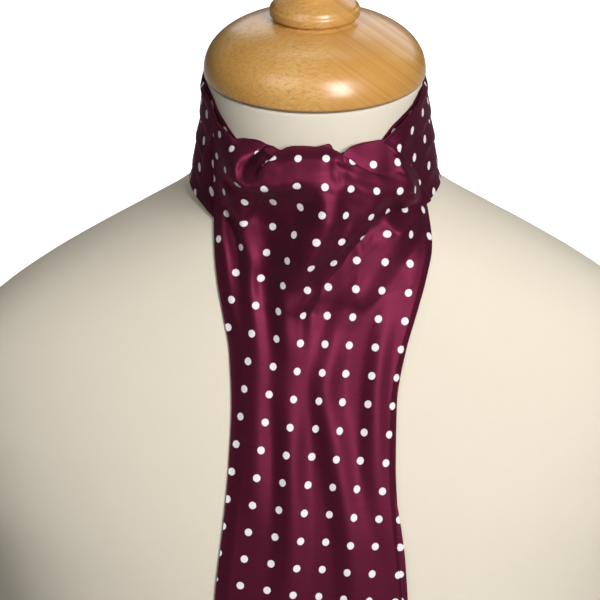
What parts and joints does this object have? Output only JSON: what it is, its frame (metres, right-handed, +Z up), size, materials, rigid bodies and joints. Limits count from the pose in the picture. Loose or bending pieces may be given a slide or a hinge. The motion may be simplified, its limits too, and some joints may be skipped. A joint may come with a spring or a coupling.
{
  "type": "silk cravat on a dress form",
  "caption": "Silk day cravat tied round the neck of a limbless tailor's dress form with a turned wooden neck cap, on an oval plinth.",
  "frame": {"origin": "on the underside of the plinth, below the axis of the neck", "axes": "+Z up; the cravat faces -Y; +X to the right of someone who faces it"},
  "size_m": [0.4048, 0.229, 0.6253],
  "materials": {
    "silk": "burgundy silk satin with small white dots",
    "jersey": "cream cotton jersey, pulled tight",
    "beech": "turned beech, honey varnish"
  },
  "bodies": {
    "root": {"cravat_neck_band": "silk", "cravat_left_wrap": "silk", "cravat_right_wrap": "silk", "cravat_riser": "silk", "cravat_top_blade": "silk", "cravat_under_blade": "silk", "form_torso": "jersey", "neck_cap": "beech", "finial": "beech", "form_plinth": "beech"}
  },
  "joints": []
}
